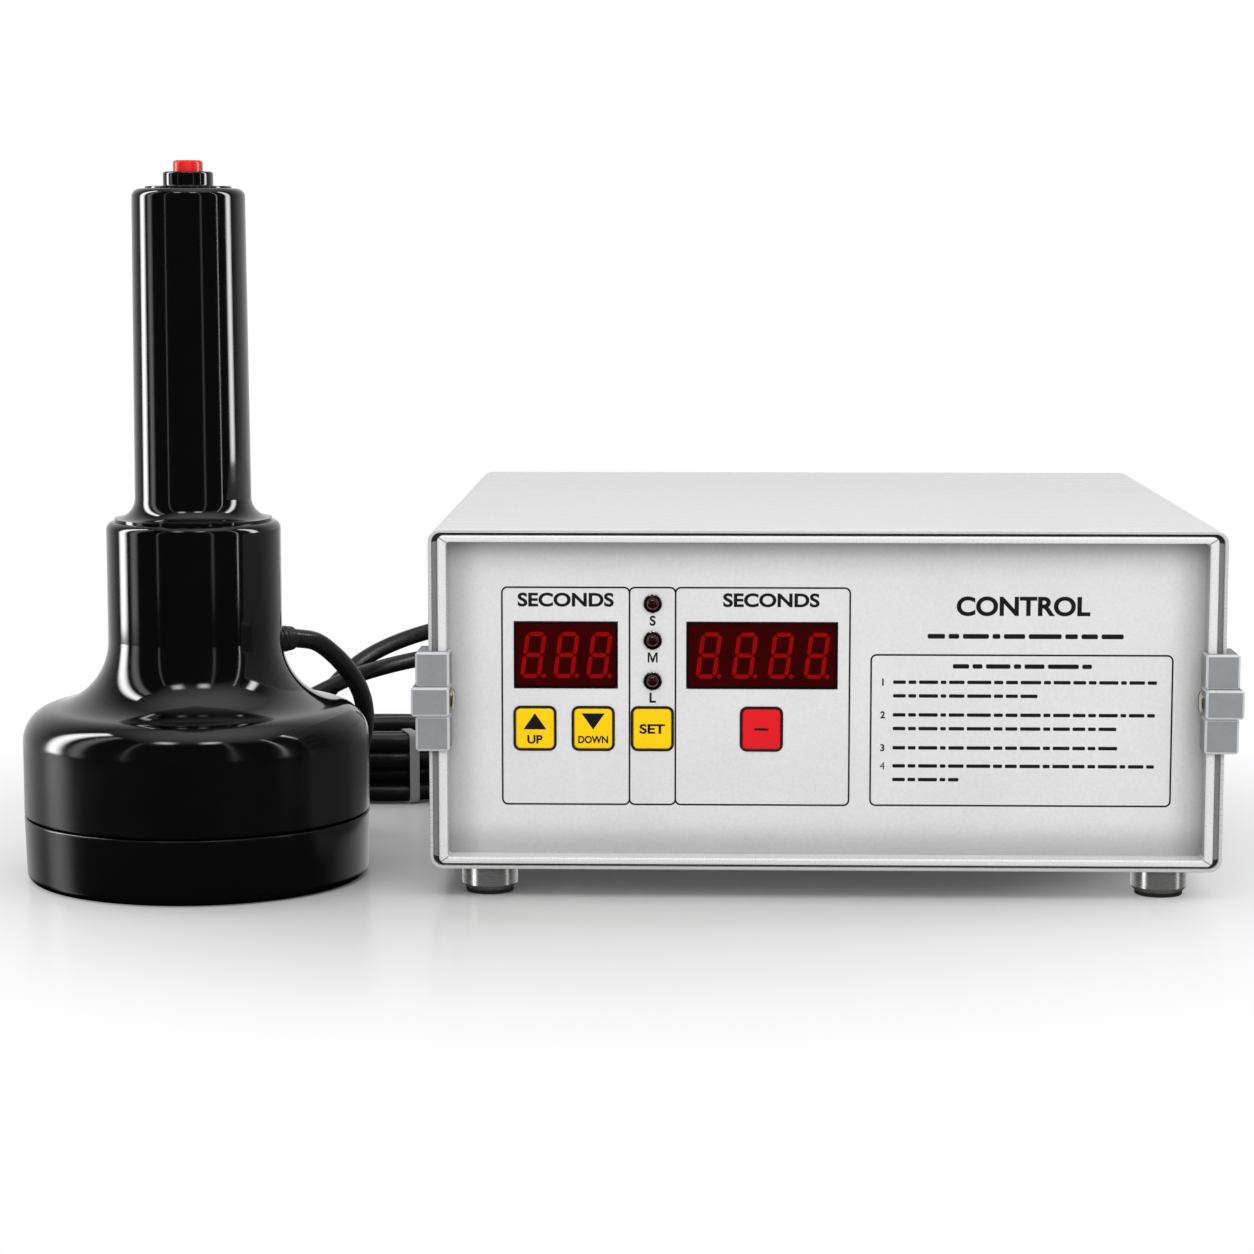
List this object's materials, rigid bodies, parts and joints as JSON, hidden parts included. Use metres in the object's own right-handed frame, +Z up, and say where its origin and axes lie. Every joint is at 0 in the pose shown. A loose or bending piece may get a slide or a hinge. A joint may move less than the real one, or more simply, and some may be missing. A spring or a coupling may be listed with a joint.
{
  "type": "induction cap sealer",
  "caption": "Handheld induction cap sealer: round sealing head with a button handle, cabled to a metal control unit with red displays and keys.",
  "frame": {"origin": "middle of the box round the head and the control unit, on the floor they stand on", "axes": "+X from the sealing head to the control unit, +Y from the front panel to the rear, +Z up"},
  "size_m": [0.4374, 0.3462, 0.26],
  "materials": {
    "cover_metal": "brushed",
    "bezel_metal": "satin",
    "panel_metal": "fine satin",
    "clamp_grey": "fine grain",
    "screw_brass": "plated",
    "foot_steel": "turned",
    "pad_rubber": "matte",
    "window_red": "polished",
    "display_black": "matte",
    "lamp_chrome": "polished",
    "lamp_maroon": "polished",
    "key_yellow": "satin",
    "key_red": "satin",
    "rim_black": "satin",
    "switch_black": "satin",
    "board_green": "satin",
    "post_brass": "plated",
    "sink_metal": "extruded",
    "core_iron": "varnished",
    "rocker_red": "polished",
    "relief_black": "satin",
    "bell_black": "polished",
    "base_black": "satin",
    "carrier_tan": "matte",
    "coil_copper": "litz",
    "ferrite_grey": "matte",
    "button_red": "polished",
    "cable_black": "satin",
    "pin_brass": "plated",
    "tie_grey": "satin"
  },
  "bodies": {
    "unit": {"top_cover": "cover_metal", "bottom_cover": "cover_metal", "front_bezel": "bezel_metal", "rear_bezel": "bezel_metal", "front_panel": "panel_metal", "rear_panel": "panel_metal", "clamp_front_left": "clamp_grey", "clamp_front_right": "clamp_grey", "clamp_rear_left": "clamp_grey", "clamp_rear_right": "clamp_grey", "clamp_screws": "screw_brass", "foot_cups": "foot_steel", "foot_pads": "pad_rubber", "seal_window": "window_red", "hold_window": "window_red", "seal_display": "display_black", "hold_display": "display_black", "lamp_rings": "lamp_chrome", "lamp_small": "lamp_maroon", "lamp_medium": "lamp_maroon", "lamp_large": "lamp_maroon", "key_rims": "rim_black", "key_switches": "switch_black", "power_switch": "switch_black", "fuse_holder": "switch_black", "fan_frame": "switch_black", "trigger_switch": "switch_black", "control_board": "board_green", "power_board": "board_green", "board_posts": "post_brass", "heatsink": "sink_metal", "transformer": "core_iron", "head_cable_relief": "relief_black", "mains_relief": "relief_black", "head_gland": "relief_black", "handle_grip": "bell_black", "bell_housing": "bell_black", "button_collar": "bell_black", "base_cover": "base_black", "coil_carrier": "carrier_tan", "induction_coil": "coil_copper", "ferrite_bars": "ferrite_grey", "head_cable": "cable_black", "head_hank": "cable_black", "head_cable_tail": "cable_black", "mains_lead": "cable_black", "mains_hank": "cable_black", "mains_tail": "cable_black", "mains_plug": "cable_black", "plug_pins": "pin_brass", "cable_tie": "tie_grey"},
    "trigger": {"trigger_button": "button_red"},
    "up": {"key_up": "key_yellow"},
    "down": {"key_down": "key_yellow"},
    "set": {"key_set": "key_yellow"},
    "minus": {"key_minus": "key_red"},
    "rocker": {"power_rocker": "rocker_red"},
    "fan": {"fan_rotor": "switch_black"},
    "fuse": {"fuse_cap": "switch_black"}
  },
  "joints": [
    {"name": "trigger_press", "type": "slide", "parent": "unit", "child": "trigger", "axis": [0, 0, -1], "range_m": [0, 0.0025], "stiffness_N_per_m": 400, "springref_m": -0.001},
    {"name": "up_press", "type": "slide", "parent": "unit", "child": "up", "axis": [0, 1, 0], "range_m": [0, 0.0006], "stiffness_N_per_m": 600, "springref_m": -0.0005},
    {"name": "down_press", "type": "slide", "parent": "unit", "child": "down", "axis": [0, 1, 0], "range_m": [0, 0.0006], "stiffness_N_per_m": 600, "springref_m": -0.0005},
    {"name": "set_press", "type": "slide", "parent": "unit", "child": "set", "axis": [0, 1, 0], "range_m": [0, 0.0006], "stiffness_N_per_m": 600, "springref_m": -0.0005},
    {"name": "minus_press", "type": "slide", "parent": "unit", "child": "minus", "axis": [0, 1, 0], "range_m": [0, 0.0006], "stiffness_N_per_m": 600, "springref_m": -0.0005},
    {"name": "rocker_switch", "type": "hinge", "parent": "unit", "child": "rocker", "pos_m": [0.0528, 0.13565, 0.0705], "axis": [-1, 0, 0], "range_deg": [0, 20]},
    {"name": "fan_spin", "type": "hinge", "parent": "unit", "child": "fan", "pos_m": [0.1428, 0.12465, 0.0725], "axis": [0, 1, 0], "continuous": true},
    {"name": "fuse_cap_turn", "type": "hinge", "parent": "unit", "child": "fuse", "pos_m": [0.0528, 0.13665, 0.0985], "axis": [0, 1, 0], "range_deg": [0, 60]}
  ]
}
